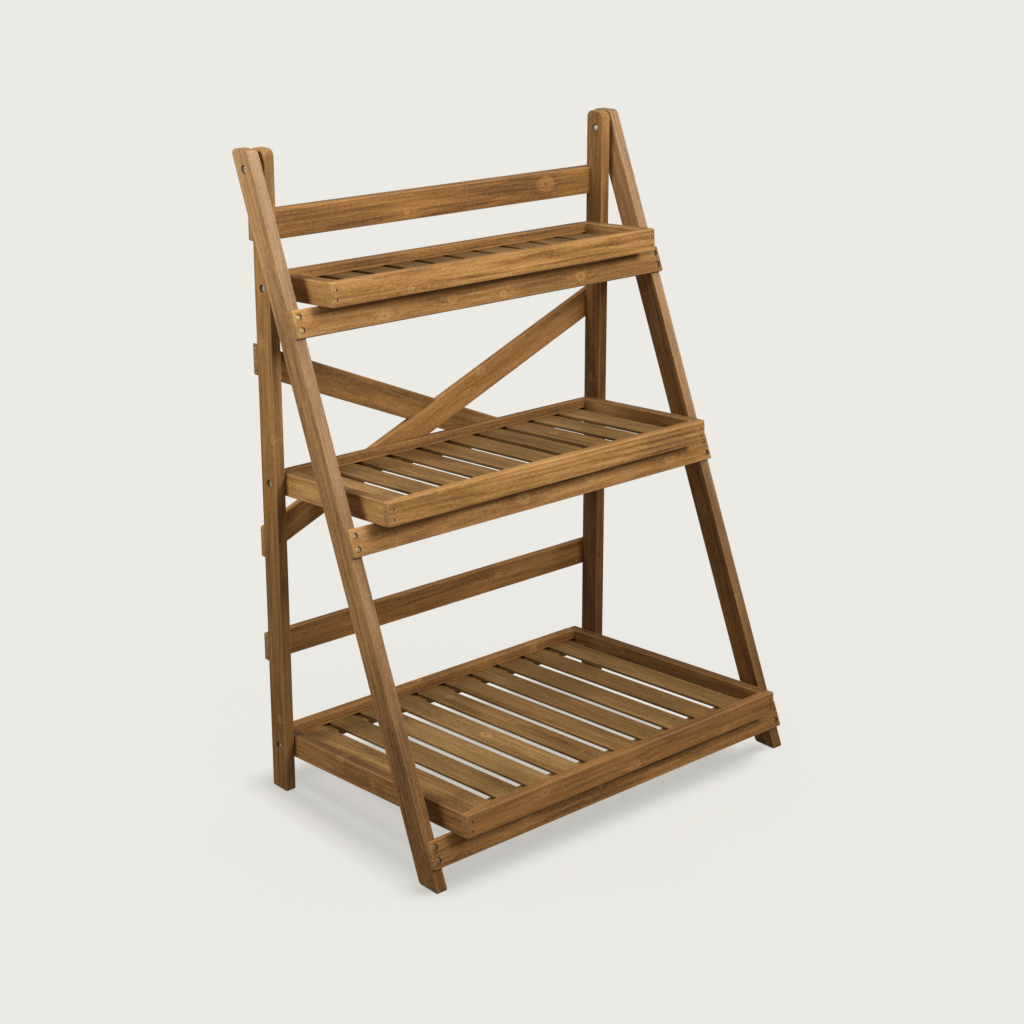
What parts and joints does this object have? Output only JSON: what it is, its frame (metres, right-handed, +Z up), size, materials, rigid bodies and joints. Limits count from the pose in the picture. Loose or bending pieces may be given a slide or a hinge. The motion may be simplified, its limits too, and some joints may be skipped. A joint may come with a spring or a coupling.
{
  "type": "plant ladder stand",
  "caption": "Folding wooden plant stand: braced rear frame, leaning front frame with cross rails, and slatted trays that lift on bolts.",
  "frame": {"origin": "middle of the bounding box, on the floor", "axes": "+X to the right seen from the front, +Y to the rear, +Z up; the front frame leans toward -Y"},
  "size_m": [0.677, 0.4366, 0.93],
  "materials": {
    "stained_fir": "brushed fir with a mid-brown stain, lighter along worn edges",
    "slat_fir": "thin fir slats and battens with a greyer brown stain",
    "zinc_steel": "bright zinc-plated bolts, nuts and washers",
    "brassed_steel": "yellow-passivated wood screws"
  },
  "bodies": {
    "rear_frame": {"rear_post_left": "stained_fir", "rear_post_right": "stained_fir", "rear_top_rail": "stained_fir", "rear_brace_a": "stained_fir", "rear_brace_b": "stained_fir", "rear_low_rail": "stained_fir", "pivot_bolts": "zinc_steel", "leg_nuts_and_washers": "zinc_steel", "rear_screws": "brassed_steel"},
    "front_frame": {"front_leg_left": "stained_fir", "front_leg_right": "stained_fir", "front_rail_top": "stained_fir", "front_rail_middle": "stained_fir", "front_rail_bottom": "stained_fir", "front_rail_screws": "brassed_steel"},
    "top_tray": {"top_tray_side_left": "stained_fir", "top_tray_side_right": "stained_fir", "top_tray_front_board": "stained_fir", "top_tray_rear_board": "stained_fir", "top_tray_battens": "slat_fir", "top_tray_slat_1": "slat_fir", "top_tray_slat_2": "slat_fir", "top_tray_slat_3": "slat_fir", "top_tray_slat_4": "slat_fir", "top_tray_slat_5": "slat_fir", "top_tray_slat_6": "slat_fir", "top_tray_slat_7": "slat_fir", "top_tray_slat_8": "slat_fir", "top_tray_slat_9": "slat_fir", "top_tray_slat_10": "slat_fir"},
    "middle_tray": {"middle_tray_side_left": "stained_fir", "middle_tray_side_right": "stained_fir", "middle_tray_front_board": "stained_fir", "middle_tray_rear_board": "stained_fir", "middle_tray_battens": "slat_fir", "middle_tray_slat_1": "slat_fir", "middle_tray_slat_2": "slat_fir", "middle_tray_slat_3": "slat_fir", "middle_tray_slat_4": "slat_fir", "middle_tray_slat_5": "slat_fir", "middle_tray_slat_6": "slat_fir", "middle_tray_slat_7": "slat_fir", "middle_tray_slat_8": "slat_fir", "middle_tray_slat_9": "slat_fir", "middle_tray_slat_10": "slat_fir"},
    "bottom_tray": {"bottom_tray_side_left": "stained_fir", "bottom_tray_side_right": "stained_fir", "bottom_tray_front_board": "stained_fir", "bottom_tray_rear_board": "stained_fir", "bottom_tray_battens": "slat_fir", "bottom_tray_slat_1": "slat_fir", "bottom_tray_slat_2": "slat_fir", "bottom_tray_slat_3": "slat_fir", "bottom_tray_slat_4": "slat_fir", "bottom_tray_slat_5": "slat_fir", "bottom_tray_slat_6": "slat_fir", "bottom_tray_slat_7": "slat_fir", "bottom_tray_slat_8": "slat_fir", "bottom_tray_slat_9": "slat_fir", "bottom_tray_slat_10": "slat_fir"}
  },
  "joints": [
    {"name": "front_frame_fold", "type": "hinge", "parent": "rear_frame", "child": "front_frame", "pos_m": [0, 0.18508, 0.904], "axis": [1, 0, 0], "range_deg": [0, 21]},
    {"name": "top_tray_lift", "type": "hinge", "parent": "rear_frame", "child": "top_tray", "pos_m": [0, 0.18508, 0.741], "axis": [-1, 0, 0], "range_deg": [0, 75]},
    {"name": "middle_tray_lift", "type": "hinge", "parent": "rear_frame", "child": "middle_tray", "pos_m": [0, 0.18508, 0.4655], "axis": [-1, 0, 0], "range_deg": [0, 86.5]},
    {"name": "bottom_tray_lift", "type": "hinge", "parent": "rear_frame", "child": "bottom_tray", "pos_m": [0, 0.18508, 0.0685], "axis": [-1, 0, 0], "range_deg": [0, 63]}
  ]
}
